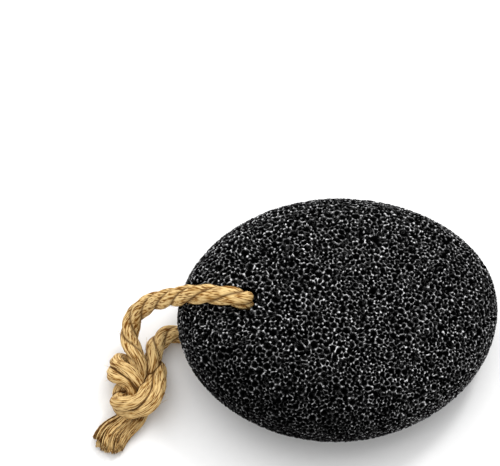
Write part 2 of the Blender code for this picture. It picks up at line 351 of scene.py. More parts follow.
def new_material(name: str) -> tuple[bpy.types.Material, NodeBench, bpy.types.Node]:
    """Make a material.

    Args:
        name: Name of the material.

    Returns:
        The material, a bench for its nodes and its Principled shader.
    """
    material = bpy.data.materials.new(name)
    material.use_nodes = True
    return material, NodeBench(material.node_tree), material.node_tree.nodes["Principled BSDF"]


def fine_grain_group() -> bpy.types.NodeTree:
    """Build the group for fine pits and grain.

    Cells give round pits, and a noise gives the grain between them. Mask is 1 inside the pits, and
    Height falls with them.

    Returns:
        The group.
    """
    pit_edge = (0.28, 0.48)
    group, bench = new_group(
        "fine_grain",
        {"Vector": ("NodeSocketVector", (0.0, 0.0, 0.0)), "Pit Scale": ("NodeSocketFloat", 900.0),
         "Grain Scale": ("NodeSocketFloat", 2500.0), "Grain": ("NodeSocketFloat", 0.4)},
        {"Mask": "NodeSocketFloat", "Height": "NodeSocketFloat"},
    )
    inlet = group.nodes.new("NodeGroupInput")
    outlet = group.nodes.new("NodeGroupOutput")
    pits = bench.add("TexVoronoi", {"Randomness": 1.0})
    bench.join(inlet.outputs["Vector"], pits.inputs["Vector"])
    bench.join(inlet.outputs["Pit Scale"], pits.inputs["Scale"])
    mask = bench.ramp(pits.outputs["Distance"], *pit_edge, 1.0, 0.0)
    noise = bench.add("TexNoise", {"Detail": 3.0, "Roughness": 0.6})
    bench.join(inlet.outputs["Vector"], noise.inputs["Vector"])
    bench.join(inlet.outputs["Grain Scale"], noise.inputs["Scale"])
    grain = bench.math("MULTIPLY", noise.outputs[0], inlet.outputs["Grain"])
    height = bench.math("SUBTRACT", grain, mask)
    bench.join(mask, outlet.inputs["Mask"])
    bench.join(height, outlet.inputs["Height"])
    return group


def fibre_group() -> bpy.types.NodeTree:
    """Build the group for fibres that run along the third axis of its vector.

    The vector is shortened along that axis before two noises read it, so both draw long streaks.
    Tone is the shade of the streaks, Line is 1 in the thin dark gaps and Height is their relief.

    Returns:
        The group.
    """
    tone_range = (0.80, 1.12)
    line_range = (0.48, 0.38)
    group, bench = new_group(
        "fibres",
        {"Vector": ("NodeSocketVector", (0.0, 0.0, 0.0)), "Stretch": ("NodeSocketFloat", 0.16),
         "Streak Scale": ("NodeSocketFloat", 1300.0), "Fibre Scale": ("NodeSocketFloat", 2600.0)},
        {"Tone": "NodeSocketFloat", "Line": "NodeSocketFloat", "Height": "NodeSocketFloat"},
    )
    inlet = group.nodes.new("NodeGroupInput")
    outlet = group.nodes.new("NodeGroupOutput")
    apart = bench.add("SeparateXYZ")
    bench.join(inlet.outputs["Vector"], apart.inputs[0])
    shortened = bench.math("MULTIPLY", apart.outputs[2], inlet.outputs["Stretch"])
    together = bench.add("CombineXYZ")
    bench.join(apart.outputs[0], together.inputs[0])
    bench.join(apart.outputs[1], together.inputs[1])
    bench.join(shortened, together.inputs[2])
    broad = bench.add("TexNoise", {"Detail": 2.0, "Roughness": 0.55})
    bench.join(together.outputs[0], broad.inputs["Vector"])
    bench.join(inlet.outputs["Streak Scale"], broad.inputs["Scale"])
    fine = bench.add("TexNoise", {"Detail": 2.0, "Roughness": 0.6})
    bench.join(together.outputs[0], fine.inputs["Vector"])
    bench.join(inlet.outputs["Fibre Scale"], fine.inputs["Scale"])
    both = bench.math("ADD", fine.outputs[0], broad.outputs[0])
    bench.join(bench.ramp(both, *tone_range), outlet.inputs["Tone"])
    bench.join(bench.ramp(fine.outputs[0], *line_range), outlet.inputs["Line"])
    bench.join(fine.outputs[0], outlet.inputs["Height"])
    return group


# --- finishes ------------------------------------------------------------------------------------
@dataclass(frozen=True)
class LavaFinish:
    """Black volcanic glass foam: corners and ridges painted pale and grey, partly for worn glass and
    partly as painted highlights in place of glints, and pores painted darker than the glass as painted
    shade, so that they hold no light.

    Each range gives the value at which an effect starts and the value at which it is full.
    """

    name: str = "black_lava_foam"
    # black glass, painted darker still as shade deep in the pores
    pore_black_and_shade_colour: tuple = (0.0004, 0.0004, 0.0004)
    wall_black_and_shade_colour: tuple = (0.0016, 0.0016, 0.0017)
    web_colour: tuple = (0.036, 0.036, 0.036)
    # partly the pale worn glass of the rims, partly painted highlights in place of glints
    ridge_pale_and_glint_colour: tuple = (0.175, 0.175, 0.177)
    corner_pale_and_glint_colour: tuple = (0.82, 0.82, 0.83)

    # where the painted shade of the walls, the rims, and the painted glints of the corners begin in
    # the skin's own values
    wall_shade_range: tuple = (0.10, 0.62)
    rim_range: tuple = (0.58, 0.92)
    corner_glint_range: tuple = (0.20, 0.62)

    # fine pits painted as shade in the rims, patches that break the rims, and threads that cross the
    # walls
    small_pits: float = 1500.0
    large_pits: float = 820.0
    large_grain: float = 1700.0
    pit_shade: float = 0.10
    patch_scale: float = 950.0
    patch_range: tuple = (0.43, 0.56)
    least_shine: float = 0.25
    web_scale: float = 800.0
    web_line: tuple = (0.09, 0.02)
    web_patch_scale: float = 400.0
    web_patch_range: tuple = (0.50, 0.60)
    web_range: tuple = (0.05, 0.35)

    # painted shade: the rims are darkened on the stone's front-left flank, the side away from the
    # light
    shaded_side: tuple = (-0.50, -0.86, 0.0)
    shaded_side_reach: tuple = (20.0 * MM, 38.0 * MM)
    shaded_side_share: float = 0.34

    # gloss and relief
    rim_roughness: float = 0.30
    pore_roughness: float = 0.60
    gloss: float = 0.0
    glaze: float = 0.40
    glaze_roughness: float = 0.22
    relief: float = 0.16 * MM
    relief_strength: float = 0.9

    def painted_side_shade(self, bench: NodeBench, place: bpy.types.NodeSocket) -> bpy.types.NodeSocket:
        """Return the painted shade of the rims: 1, but less on the stone's front-left flank, which
        lies in shade.

        Args:
            bench: The material's bench.
            place: Object coordinates.

        Returns:
            The share's socket, which falls with the distance towards the shaded side.
        """
        flank = bench.add("VectorMath", {1: self.shaded_side}, operation="DOT_PRODUCT")
        bench.join(place, flank.inputs[0])
        return bench.ramp(flank.outputs["Value"], *self.shaded_side_reach, 1.0, self.shaded_side_share)

    def web(self, bench: NodeBench, place: bpy.types.NodeSocket, openness: bpy.types.NodeSocket,
            side_shade: bpy.types.NodeSocket) -> bpy.types.NodeSocket:
        """Draw the fine threads of glass that cross some of the pores' walls.

        Args:
            bench: The material's bench.
            place: Object coordinates.
            openness: The skin's openness.
            side_shade: The painted shade of the rims on the stone's shaded side.

        Returns:
            The socket of a mask that is 1 on the threads.
        """
        cells = bench.add("TexVoronoi", {"Scale": self.web_scale}, feature="DISTANCE_TO_EDGE")
        spots = bench.add("TexNoise", {"Scale": self.web_patch_scale, "Detail": 2.0})
        for node in (cells, spots):
            bench.join(place, node.inputs["Vector"])
        threads = bench.ramp(cells.outputs["Distance"], *self.web_line)
        for share in (bench.ramp(spots.outputs[0], *self.web_patch_range), side_shade,
                      bench.ramp(openness, *self.web_range)):
            threads = bench.math("MULTIPLY", threads, share)
        return threads

    def material(self, grain: bpy.types.NodeTree) -> bpy.types.Material:
        """Build the material.

        Args:
            grain: The fine grain group.

        Returns:
            The material. It reads the skin's "openness" and "corner" attributes and Object
            coordinates.
        """
        material, bench, shader = new_material(self.name)
        place = bench.add("TexCoord").outputs["Object"]
        openness = bench.attribute("openness", "Fac")
        small = bench.add("Group", {"Pit Scale": self.small_pits}, node_tree=grain)
        large = bench.add("Group", {"Pit Scale": self.large_pits, "Grain Scale": self.large_grain},
                          node_tree=grain)
        patch = bench.add("TexNoise", {"Scale": self.patch_scale, "Detail": 3.0})
        for node in (small, large, patch):
            bench.join(place, node.inputs["Vector"])
        pitted = bench.math("MAXIMUM", small.outputs["Mask"], large.outputs["Mask"])
        # painted shade: the rims darken on the stone's front-left flank
        side_shade = self.painted_side_shade(bench, place)
        # painted shade: the rims darken in the fine pits and on the shaded flank
        whole = bench.math("MULTIPLY", bench.ramp(pitted, 0.0, 1.0, 1.0, self.pit_shade), side_shade)
        patchy = bench.ramp(patch.outputs[0], *self.patch_range)
        rim = bench.math("MULTIPLY", bench.ramp(openness, *self.rim_range), whole)
        glazed = bench.math("MULTIPLY", rim, patchy)
        # painted highlight: pale glints on the foam's corners, partly pale worn glass
        corner = bench.ramp(bench.attribute("corner", "Fac"), *self.corner_glint_range)
        painted_glint = bench.math("MULTIPLY", corner, rim)
        painted_glint = bench.math("MULTIPLY", painted_glint, bench.ramp(patchy, 0.0, 1.0, self.least_shine, 1.0))
        # painted shade: the pores' black glass darkens further the deeper it lies
        walls = bench.blend(bench.ramp(openness, *self.wall_shade_range), self.pore_black_and_shade_colour, self.wall_black_and_shade_colour)
        walls = bench.blend(self.web(bench, place, openness, side_shade), walls, self.web_colour)
        ridged = bench.blend(glazed, walls, self.ridge_pale_and_glint_colour)
        rough = bench.ramp(rim, 0.0, 1.0, self.pore_roughness, self.rim_roughness)
        height = bench.math("ADD", small.outputs["Height"], large.outputs["Height"])
        bench.join(bench.blend(painted_glint, ridged, self.corner_pale_and_glint_colour), shader.inputs["Base Color"])
        bench.join(rough, shader.inputs["Roughness"])
        bench.join(bench.math("MULTIPLY", glazed, self.glaze), shader.inputs["Coat Weight"])
        bench.join(bench.bump(height, self.relief_strength, self.relief), shader.inputs["Normal"])
        shader.inputs["Coat Roughness"].default_value = self.glaze_roughness
        shader.inputs["Specular IOR Level"].default_value = self.gloss
        return material


@dataclass(frozen=True)
class JuteFinish:
    """Golden tan jute: streaked fibres, with brown painted shade in the grooves between strands and in
    the knots' seams, and darker fibres in the frayed ends.
    """

    name: str = "golden_jute"
    dark: tuple = (0.33, 0.160, 0.028)
    light: tuple = (0.70, 0.495, 0.22)
    shadow: tuple = (0.14, 0.050, 0.005)
    # painted shade in the grooves between strands and the knots' seams; also the colour of the darker
    # fibres in the frayed ends
    groove_shade_and_tone: tuple = (0.085, 0.032, 0.004)
    groove_shade_range: tuple = (0.50, 1.0)
    groove_shade_share: float = 0.95
    roughness: float = 0.75
    roughness_swing: float = 0.10
    gloss: float = 0.15
    relief: float = 0.30 * MM
    relief_strength: float = 0.9

    def material(self, fibres: bpy.types.NodeTree) -> bpy.types.Material:
        """Build the material.

        Args:
            fibres: The fibre group.

        Returns:
            The material, which reads the "straight" and "groove" attributes of rope pieces.
        """
        material, bench, shader = new_material(self.name)
        strands = bench.add("Group", node_tree=fibres)
        bench.join(bench.attribute("straight", "Vector"), strands.inputs["Vector"])
        tone = strands.outputs["Tone"]
        fibre = bench.blend(tone, self.dark, self.light)
        lined = bench.blend(strands.outputs["Line"], fibre, self.shadow)
        # painted shade in the creases and seams of the rope, real dark tone in the frayed and loose
        # fibres
        groove_shade_and_tone = bench.attribute("groove_shade_and_tone", "Fac")
        crease_shade = bench.ramp(groove_shade_and_tone, *self.groove_shade_range, 0.0, self.groove_shade_share)
        smoothest = self.roughness - self.roughness_swing
        roughest = self.roughness + self.roughness_swing
        normal = bench.bump(strands.outputs["Height"], self.relief_strength, self.relief)
        bench.join(bench.blend(crease_shade, lined, self.groove_shade_and_tone), shader.inputs["Base Color"])
        bench.join(bench.ramp(tone, 0.0, 1.0, roughest, smoothest), shader.inputs["Roughness"])
        bench.join(normal, shader.inputs["Normal"])
        shader.inputs["Specular IOR Level"].default_value = self.gloss
        return material


@dataclass(frozen=True)
class FloorFinish:
    """Matt pale board with a barely visible tooth."""

    name: str = "pale_board"
    colour: tuple = (0.86, 0.86, 0.86)
    tooth_scale: float = 400.0
    tooth_shade: float = 0.97
    roughness: float = 0.9

    def material(self) -> bpy.types.Material:
        """Build the material.

        Returns:
            The material, which reads Object coordinates.
        """
        material, bench, shader = new_material(self.name)
        noise = bench.add("TexNoise", {"Scale": self.tooth_scale, "Detail": 2.0})
        bench.join(bench.add("TexCoord").outputs["Object"], noise.inputs["Vector"])
        shade = tuple(self.tooth_shade * value for value in self.colour)
        bench.join(bench.blend(noise.outputs[0], self.colour, shade), shader.inputs["Base Color"])
        shader.inputs["Roughness"].default_value = self.roughness
        return material


# --- the stone -----------------------------------------------------------------------------------
@dataclass(frozen=True)
class StoneForm:
    """The flattened egg under the foam, as half sizes on each side of its pole."""

    left: float = 48.0 * MM
    right: float = 50.0 * MM
    front: float = 41.3 * MM
    back: float = 37.2 * MM
    half_thickness: float = 17.5 * MM
    plan_power: float = 1.95
    top_power: float = 2.8
    under_power: float = 2.1
    pole: tuple = (-1.0 * MM, 2.05 * MM, 16.3 * MM)
    lean: float = math.radians(3.0)
    slope_step: float = 0.05 * MM
    floor_touch: float = 0.001 * MM

    def sizes(self) -> np.ndarray:
        """Return one half size along each axis."""
        return np.array([self.right, self.back, self.half_thickness])

    def axes(self) -> np.ndarray:
        """Return the stone's own leaning axes as rows: a turn about Y."""
        c, s = math.cos(self.lean), math.sin(self.lean)
        return np.array([[c, 0.0, -s], [0.0, 1.0, 0.0], [s, 0.0, c]])

    def level(self, rays: np.ndarray) -> np.ndarray:
        """Return 1 on the form, less inside it and more outside.

        Seen from above the form is an egg, plan = (|x/a|^n + |y/b|^n)^(1/n), and the level is
        (plan^m + |z/c|^m)^(1/m), with a larger power m above the pole than below it.

        Args:
            rays: Places seen from the pole, along the stone's own axes.

        Returns:
            The level of each place.
        """
        x, y, z = rays.T
        a = np.where(x > 0.0, self.right, self.left)
        b = np.where(y > 0.0, self.back, self.front)
        m = np.where(z > 0.0, self.top_power, self.under_power)
        plan = np.abs(x / a) ** self.plan_power + np.abs(y / b) ** self.plan_power
        return (plan ** (m / self.plan_power) + np.abs(z / self.half_thickness) ** m) ** (1.0 / m)

    def drop_on(self, points: np.ndarray) -> np.ndarray:
        """Move points along rays from the pole on to the form, and no lower than the floor.

        Args:
            points: The points.

        Returns:
            Each point divided by its level, as seen from the pole.
        """
        own = (points - np.array(self.pole)) @ self.axes().T
        own = own / self.level(own)[:, None]
        placed = own @ self.axes() + np.array(self.pole)
        placed[:, 2] = np.maximum(placed[:, 2], 0.0)
        return placed

    def outward(self, points: np.ndarray) -> np.ndarray:
        """Return the form's unit normals: the level's slopes, or straight down on the worn flat.

        Args:
            points: Points on the form.

        Returns:
            A normal for each.
        """
        own = (points - np.array(self.pole)) @ self.axes().T
        shifts = np.eye(3) * self.slope_step
        slopes = np.stack([self.level(own + s) - self.level(own - s) for s in shifts], axis=1)
        normals = unit(slopes @ self.axes())
        normals[points[:, 2] < self.floor_touch] = (0.0, 0.0, -1.0)
        return normals


@dataclass(frozen=True)
class BubbleNet:
    """The half-edges of the triangles between bubbles. Each stands for a wedge of its first bubble.

    It keeps each half-edge's first and last bubble, its triangle, the next half-edge round that
    triangle, its twin that runs the other way and its ridge, and one of each ridge's two half-edges.
    """

    start: np.ndarray
    end: np.ndarray
    face: np.ndarray
    ahead: np.ndarray
    twin: np.ndarray
    ridge: np.ndarray
    side: np.ndarray

    @classmethod
    def of(cls, faces: np.ndarray, bubbles: int) -> "BubbleNet":
        """Number the half-edges of a closed net of triangles.

        Args:
            faces: The numbers of each triangle's bubbles.
            bubbles: How many bubbles there are.

        Returns:
            The net.
        """
        start = faces.ravel()
        end = np.roll(faces, -1, axis=1).ravel()
        number = np.arange(faces.size)
        ahead = np.roll(number.reshape(-1, 3), -1, axis=1).ravel()
        key = start * bubbles + end
        order = np.argsort(key)
        twin = order[np.searchsorted(key[order], end * bubbles + start)]
        ridge = np.unique(np.minimum(number, twin), return_inverse=True)[1]
        side = np.zeros(faces.size // 2, np.int64)
        side[ridge] = number
        return cls(start, end, number // 3, ahead, twin, ridge, side)

    def wedges(self) -> np.ndarray:
        """Join the skin's points: four triangles of rim and two of wall for each half-edge.

        The points come in this order: the corners of the foam, one for each triangle, the tops of
        the ridges, each wedge's corner of the mouth and middle of the mouth, and the floors.

        Returns:
            Vertex numbers, three for each triangle.
        """
        halves = len(self.start)
        first = np.cumsum([0, halves // 3, len(self.side), halves, halves])
        before_corner = self.face[self.twin]
        after_corner = self.face
        ridge_top = first[1] + self.ridge
        before_mouth = first[2] + self.ahead[self.twin]
        after_mouth = first[2] + np.arange(halves)
        ridge_mouth = first[3] + np.arange(halves)
        floor = first[4] + self.start
        wedges = [
            (before_mouth, before_corner, ridge_top), (before_mouth, ridge_top, ridge_mouth),
            (ridge_mouth, ridge_top, after_corner), (ridge_mouth, after_corner, after_mouth),
            (floor, before_mouth, ridge_mouth), (floor, ridge_mouth, after_mouth),
        ]
        return np.concatenate([np.stack(wedge, axis=1) for wedge in wedges])


@dataclass(frozen=True)
class FoamSkin:
    """A closed skin of open bubbles over a form.

    Bubble centres are pushed apart by their own sizes and joined into triangles. Each triangle has
    one corner of the foam, each edge one ridge, and each bubble a round mouth and a floor.
    """

    # how many bubbles, how much of the form they cover, how unlike in size they are, and how large
    # from place to place
    seed: int = 11
    bubbles: int = 5150
    packing: float = 0.84
    size_spread: float = 0.31
    size_limits: tuple = (0.50, 2.1)
    back_size: float = 1.02
    front_size: float = 0.80
    under_size: float = 1.50
    under_reach: float = 9.0 * MM

    # trial spots for each bubble, and the rounds that push overlapping bubbles apart
    trials: int = 40
    least_facing: float = 0.05
    rounds: int = 36
    rounds_a_search: int = 6
    search_reach: float = 1.5
    push: float = 0.45

    # least and most that each of three bubbles weighs in the place of the corner between them
    corner_share: tuple = (0.14, 0.72)

    # mouths, as shares of the way from the bubble's middle, and depths, as shares of its radius
    mouth_at_ridge: float = 0.84
    mouth_at_corner: float = 0.72
    mouth_jitter: float = 0.06
    depth: float = 1.8
    depth_spread: float = 0.40
    least_depth: float = 0.35 * MM

    # how far lips, ridges, broken ridges and corners lie under the form
    lip: float = 0.11 * MM
    lip_range: tuple = (0.1, 2.4)
    ridge_sag: float = 0.45 * MM
    sag_shape: tuple = (1.3, 2.6)
    broken_share: float = 0.20
    broken_sag: float = 0.95 * MM
    broken_range: tuple = (0.5, 1.0)
    most_sag: float = 0.55
    corner_wear: float = 0.30 * MM

    # the values that the finish reads: openness for the painted shade in the pores, shine for the
    # painted glints
    mouth_openness: float = 0.70
    shine_shape: tuple = (1.6, 1.2)
    shine_at_mouth: float = 0.6
    shine_at_ridge: float = 0.8
    shine_in_ridge: float = 0.5

    def local_size(self, form: StoneForm, spots: np.ndarray) -> np.ndarray:
        """Return how coarse the foam is: finest in front, coarsest underneath.

        Args:
            form: The form.
            spots: Places on it.

        Returns:
            A factor on the bubbles' size at each place.
        """
        own = (spots - np.array(form.pole)) @ form.axes().T
        size = np.interp(own[:, 1], [-form.front, form.back], [self.front_size, self.back_size])
        return size * np.interp(own[:, 2], [-self.under_reach, 0.0], [self.under_size, 1.0])

    def sizes(self, area: float, local: np.ndarray, random: np.random.Generator) -> np.ndarray:
        """Choose radii by a bell curve of their logarithm, so that the bubbles fill the area.

        Args:
            area: The form's area.
            local: A factor on each bubble's size.
            random: The random numbers to use.

        Returns:
            The radii.
        """
        radii = np.exp(random.normal(0.0, self.size_spread, self.bubbles))
        radii = np.clip(radii, *self.size_limits) * local
        return radii * math.sqrt(self.packing * area / (math.pi * (radii ** 2).sum()))

    def spread(self, form: StoneForm, random: np.random.Generator) -> tuple[np.ndarray, np.ndarray]:
        """Spread bubbles over the form, closest where they are small, then push overlaps apart.

        Args:
            form: The form that they lie on.
            random: The random numbers to use.

        Returns:
            The centres and the radii.
        """
        trial = self.trials * self.bubbles
        rays = unit(random.normal(size=(trial, 3))) * form.sizes()
        spots = form.drop_on(np.array(form.pole) + rays)
        out = spots - np.array(form.pole)
        reach = np.linalg.norm(out, axis=1)
        facing = np.abs((unit(out) * form.outward(spots)).sum(axis=1))
        weight = reach ** 2 / np.maximum(facing, self.least_facing) / self.ray_density(unit(out), form)
        area = weight.mean()
        local = self.local_size(form, spots)
        weight /= local ** 2
        chosen = random.choice(trial, self.bubbles, replace=False, p=weight / weight.sum())
        centres = spots[chosen]
        radii = self.sizes(area, local[chosen], random)
        for turn in range(self.rounds):
            if turn % self.rounds_a_search == 0:
                first, second = self.neighbours(centres, radii)
            apart = centres[first] - centres[second]
            distance = np.maximum(np.linalg.norm(apart, axis=1), 1e-7)
            overlap = np.clip(radii[first] + radii[second] - distance, 0.0, None)
            push = apart * (self.push * overlap / distance)[:, None]
            moved = self.total(first, push) - self.total(second, push)
            centres = form.drop_on(centres + moved)
        return centres, radii

    def total(self, owner: np.ndarray, rows: np.ndarray) -> np.ndarray:
        """Return for each bubble the sum of the rows of three that it owns."""
        return np.stack([np.bincount(owner, rows[:, k], self.bubbles) for k in range(3)], axis=1)

    @staticmethod
    def ray_density(rays: np.ndarray, form: StoneForm) -> np.ndarray:
        """Return how many stretched trial rays fall in each unit of solid angle.

        Args:
            rays: Unit directions from the pole.
            form: The form whose sizes stretch the rays.

        Returns:
            1 / (4 pi a b c |(x/a, y/b, z/c)|^3) for each direction.
        """
        squeezed = np.linalg.norm(rays / form.sizes(), axis=1)
        return 1.0 / (4.0 * math.pi * form.sizes().prod() * squeezed ** 3)

    def neighbours(self, centres: np.ndarray, radii: np.ndarray) -> tuple[np.ndarray, np.ndarray]:
        """Find the pairs of bubbles that are near each other for their size.

        Args:
            centres: The bubbles' centres.
            radii: Their radii.

        Returns:
            The numbers of the first and of the second bubble of each pair.
        """
        places = centres.astype(np.float32) / MM
        square = (places ** 2).sum(axis=1)
        gap = square[:, None] + square[None, :] - 2.0 * places @ places.T
        reach = (self.search_reach / MM) * (radii[:, None] + radii[None, :]).astype(np.float32)
        first, second = np.nonzero(gap < reach ** 2)
        once = first < second
        return first[once], second[once]

    @staticmethod
    def triangles(form: StoneForm, centres: np.ndarray) -> np.ndarray:
        """Join neighbouring centres: the hull of their places on a ball, with slivers turned.

        Args:
            form: The form that they lie on.
            centres: The centres.

        Returns:
            The numbers of the three bubbles of each triangle.
        """
        own = (centres - np.array(form.pole)) @ form.axes().T
        mesh = bpy.data.meshes.new("bubble_net")
        mesh.vertices.add(len(centres))
        mesh.vertices.foreach_set("co", unit(own / np.sqrt(form.sizes())).astype(np.float32).ravel())
        net = bmesh.new()
        net.from_mesh(mesh)
        bmesh.ops.convex_hull(net, input=net.verts[:])
        net.to_mesh(mesh)
        net.clear()
        mesh.vertices.foreach_set("co", (centres / MM).astype(np.float32).ravel())
        net.from_mesh(mesh)
        bmesh.ops.beautify_fill(net, faces=net.faces[:], edges=net.edges[:], method="ANGLE")
        bmesh.ops.recalc_face_normals(net, faces=net.faces[:])
        net.to_mesh(mesh)
        net.free()
        corners = np.zeros(len(mesh.polygons) * 3, np.int32)
        mesh.loops.foreach_get("vertex_index", corners)
        bpy.data.meshes.remove(mesh)
        return corners.reshape(-1, 3).astype(np.int64)

    def meeting_points(self, centres: np.ndarray, radii: np.ndarray, faces: np.ndarray) -> np.ndarray:
        """Find the point of each triangle that is equally far outside its three bubbles.

        It solves the two linear equations |P-A|^2 - ra^2 = |P-B|^2 - rb^2 = |P-C|^2 - rc^2 in the
        triangle's plane, and keeps every share of the three corners between set limits.

        Args:
            centres: The bubbles' centres.
            radii: Their radii.
            faces: The numbers of each triangle's bubbles.

        Returns:
            A point for each triangle.
        """
        a, b, c = (centres[faces[:, k]] for k in range(3))
        ra, rb, rc = (radii[faces[:, k]] for k in range(3))
        e1, e2 = b - a, c - a
        g11, g12, g22 = (e1 * e1).sum(1), (e1 * e2).sum(1), (e2 * e2).sum(1)
        h1 = 0.5 * (g11 - rb ** 2 + ra ** 2)
        h2 = 0.5 * (g22 - rc ** 2 + ra ** 2)
        scale = np.maximum(g11 * g22 - g12 ** 2, 1e-24)
        u = (h1 * g22 - h2 * g12) / scale
        v = (h2 * g11 - h1 * g12) / scale
        share = np.clip(np.stack([1.0 - u - v, u, v], axis=1), *self.corner_share)
        share /= share.sum(axis=1)[:, None]
        return share[:, :1] * a + share[:, 1:2] * b + share[:, 2:] * c

    def skin(self, form: StoneForm) -> tuple[np.ndarray, np.ndarray, np.ndarray, np.ndarray]:
        """Build the whole skin.

        Each half-edge of the net stands for one wedge of one bubble. A wedge has two corners of the
        foam and the top of the ridge between them, three points of the mouth and the bubble's
        floor: four triangles of rim and two of wall.

        Args:
            form: The form that the skin follows.

        Returns:
            Positions, triangles, each vertex's openness, 1 on the rim and 0 at the floor, which the
            finish turns into painted shade, and the strength of its painted glint, up to 1 at the
            corners of the foam that shine most.
        """
        random = np.random.default_rng(self.seed)
        centres, radii = self.spread(form, random)
        faces = self.triangles(form, centres)
        net = BubbleNet.of(faces, self.bubbles)
        halves, ridges = len(net.start), len(net.side)

        corner = form.drop_on(self.meeting_points(centres, radii, faces))
        around = np.bincount(net.start, minlength=self.bubbles)
        middle = form.drop_on(self.total(net.start, corner[net.face]) / around[:, None])
        far_face = net.face[net.twin[net.side]]
        ridge = form.drop_on(0.5 * (corner[net.face[net.side]] + corner[far_face]))
        room = np.linalg.norm(corner[net.face] - middle[net.start], axis=1)
        radius = np.bincount(net.start, room, self.bubbles) / around

        shallowest, deepest = 1.0 - self.depth_spread, 1.0 + self.depth_spread
        deep = radius * self.depth * random.uniform(shallowest, deepest, self.bubbles)
        sag = self.ridge_sag * random.beta(*self.sag_shape, ridges)
        broken = random.random(ridges) < self.broken_share
        sag = np.where(broken, self.broken_sag * random.uniform(*self.broken_range, ridges), sag)
        shallower = np.minimum(deep[net.start[net.side]], deep[net.end[net.side]])
        sag = np.minimum(sag, self.most_sag * shallower)
        wear = self.corner_wear * random.random(len(corner)) ** 2

        def between(target: np.ndarray, share: float) -> np.ndarray:
            """Return places part of the way from each wedge's bubble to a target, with jitter."""
            part = share + random.uniform(-self.mouth_jitter, self.mouth_jitter, halves)
            return form.drop_on(middle[net.start] + (target - middle[net.start]) * part[:, None])

        mouth_corner = between(corner[net.face], self.mouth_at_corner)
        mouth_ridge = between(ridge[net.ridge], self.mouth_at_ridge)
        corner_lip = self.lip * random.uniform(*self.lip_range, halves) + wear[net.face]
        ridge_lip = self.lip * random.uniform(*self.lip_range, halves) + sag[net.ridge]

        on_form = np.concatenate([corner, ridge, mouth_corner, mouth_ridge, middle])
        depth = np.concatenate([wear, sag, corner_lip, ridge_lip, np.maximum(deep, self.least_depth)])
        places = on_form - form.outward(on_form) * depth[:, None]
        places[:, 2] = np.maximum(places[:, 2], 0.0)

        at_corner = np.clip(1.0 - wear / radius.mean(), 0.0, 1.0)
        at_ridge = np.clip(1.0 - sag / radius.mean(), 0.0, 1.0)
        openness = np.concatenate([at_corner, at_ridge, self.mouth_openness * at_corner[net.face],
                                   self.mouth_openness * at_ridge[net.ridge], np.zeros(self.bubbles)])
        # painted highlight: a random glint strength for each corner and ridge
        shine = random.beta(*self.shine_shape, len(corner))
        ridge_glint = self.shine_at_ridge * random.random(ridges) ** 3
        glint_share = np.concatenate([shine, ridge_glint, self.shine_at_mouth * shine[net.face],
                                   self.shine_in_ridge * ridge_glint[net.ridge], np.zeros(self.bubbles)])
        return places, net.wedges(), openness, glint_share


@dataclass(frozen=True)
class PumiceStone:
    """The stone: its foam skin, drilled through and worn where the rope runs."""

    form: StoneForm = field(default_factory=StoneForm)
    foam: FoamSkin = field(default_factory=FoamSkin)
    bore_centre: tuple = (-28.5 * MM, 3.0 * MM)
    bore_radius: float = 3.5 * MM
    bore_length: float = 60.0 * MM
    bore_sides: int = 72

    # the way runs between these points of the upper and the lower leg
    way_ends: tuple = (8, 6)
    way_radius: float = 3.35 * MM
    way_step: int = 3
    way_sides: int = 40

    def bore_cutter(self) -> bpy.types.Mesh:
        """Make the straight drill.

        Returns:
            A closed cylinder.
        """
        drill = bmesh.new()
        place = Matrix.Translation((*self.bore_centre, self.form.pole[2]))
        bmesh.ops.create_cone(drill, cap_ends=True, segments=self.bore_sides, radius1=self.bore_radius,
                              radius2=self.bore_radius, depth=self.bore_length, matrix=place)
        mesh = bpy.data.meshes.new("bore_cutter")
        drill.to_mesh(mesh)
        drill.free()
        return mesh

    def way_cutter(self, route: "RopeRoute") -> bpy.types.Mesh:
        """Make the tool for the rope's way over both lips of the hole.

        Args:
            route: The rope's route.

        Returns:
            A closed tube along the route, wider than the rope.
        """
        over, under = self.way_ends
        line = route.stretch(UPPER_LEG[over], LOWER_LEG[under])[::self.way_step]
        rings, _ = carried_rings(line, np.full((len(line), self.way_sides), self.way_radius))
        return mesh_from_arrays("way_cutter", *closed_tube(rings, line))

    def build(self, route: "RopeRoute", material: bpy.types.Material) -> bpy.types.Object:
        """Make the stone.

        Args:
            route: The rope's route, for the worn way.
            material: The stone's finish.

        Returns:
            The stone's object.
        """
        places, triangles, openness, glint_share = self.foam.skin(self.form)
        mesh = mesh_from_arrays("pumice_foam", places, triangles)
        store(mesh, "openness", openness)
        # the corner attribute carries the strength of the painted glints
        store(mesh, "corner", glint_share)
        stone = put_in_scene("pumice_foam", mesh, material)
        for cutter_mesh in (self.bore_cutter(), self.way_cutter(route)):
            cutter = put_in_scene(cutter_mesh.name, cutter_mesh, material)
            cut = stone.modifiers.new(cutter_mesh.name, "BOOLEAN")
            cut.operation = "DIFFERENCE"
            cut.solver = "EXACT"
            cut.object = cutter
            bpy.context.view_layer.update()
            graph = bpy.context.evaluated_depsgraph_get()
            drilled = bpy.data.meshes.new_from_object(stone.evaluated_get(graph))
            stone.modifiers.clear()
            stone.data = drilled
            bpy.data.objects.remove(cutter, do_unlink=True)
        stone.data.name = "pumice_foam"
        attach(stone, "root")
        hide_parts("pumice_stone")
        return stone


